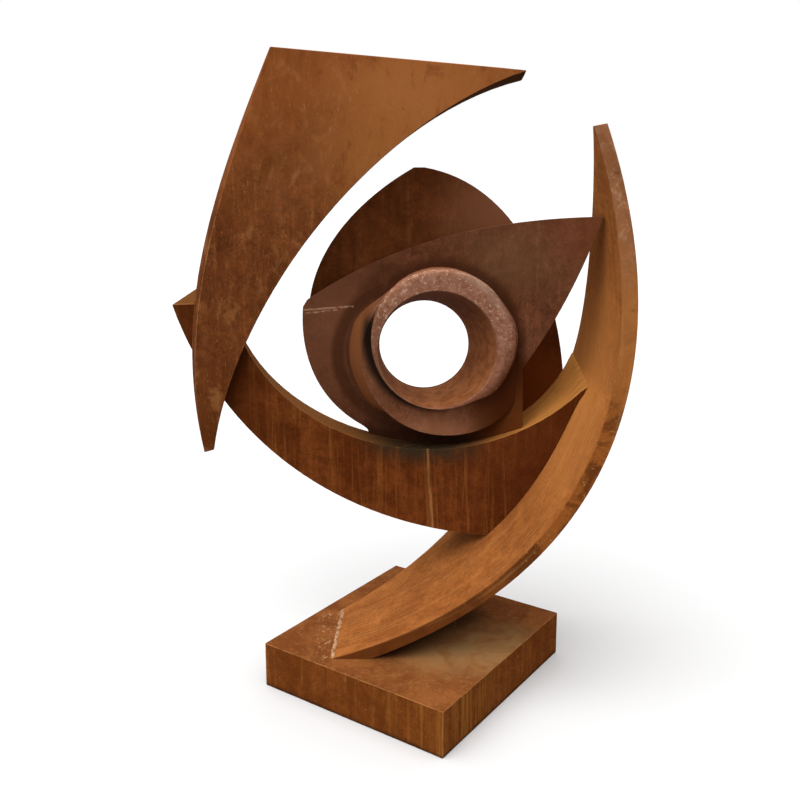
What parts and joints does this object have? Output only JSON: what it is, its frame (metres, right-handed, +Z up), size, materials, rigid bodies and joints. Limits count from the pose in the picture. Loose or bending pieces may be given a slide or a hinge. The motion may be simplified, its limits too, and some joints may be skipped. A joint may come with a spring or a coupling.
{
  "type": "abstract metal sculpture",
  "caption": "Abstract weathering steel sculpture: a sweeping crescent arm on a block plinth carries a cradle, a shield blade, curved leaves and a spiral collar round an open eye.",
  "frame": {"origin": "middle of the plinth's underside, on the ground", "axes": "+Z up, +X across the width of the work towards the arm, +Y from the front of the work to its back"},
  "size_m": [1.4042, 0.9462, 1.943],
  "materials": {
    "plinth_steel": "matt brown rust patina with run marks on the sides and bare worn edges",
    "arm_steel": "matt orange-brown rust patina with long flow streaks",
    "cradle_steel": "matt dark red-brown rust patina with upright streaks",
    "blade_steel": "matt warm brown rust patina, mottled",
    "back_leaf_steel": "smooth dark purplish brown patina",
    "front_leaf_steel": "smooth dark purplish brown patina",
    "collar_steel": "speckled pinkish brown patina, redder on the band"
  },
  "bodies": {
    "root": {"plinth": "plinth_steel", "sweeping_arm": "arm_steel", "cradle": "cradle_steel", "shield_blade": "blade_steel", "back_leaf": "back_leaf_steel", "front_leaf": "front_leaf_steel", "spiral_collar": "collar_steel"}
  },
  "joints": []
}
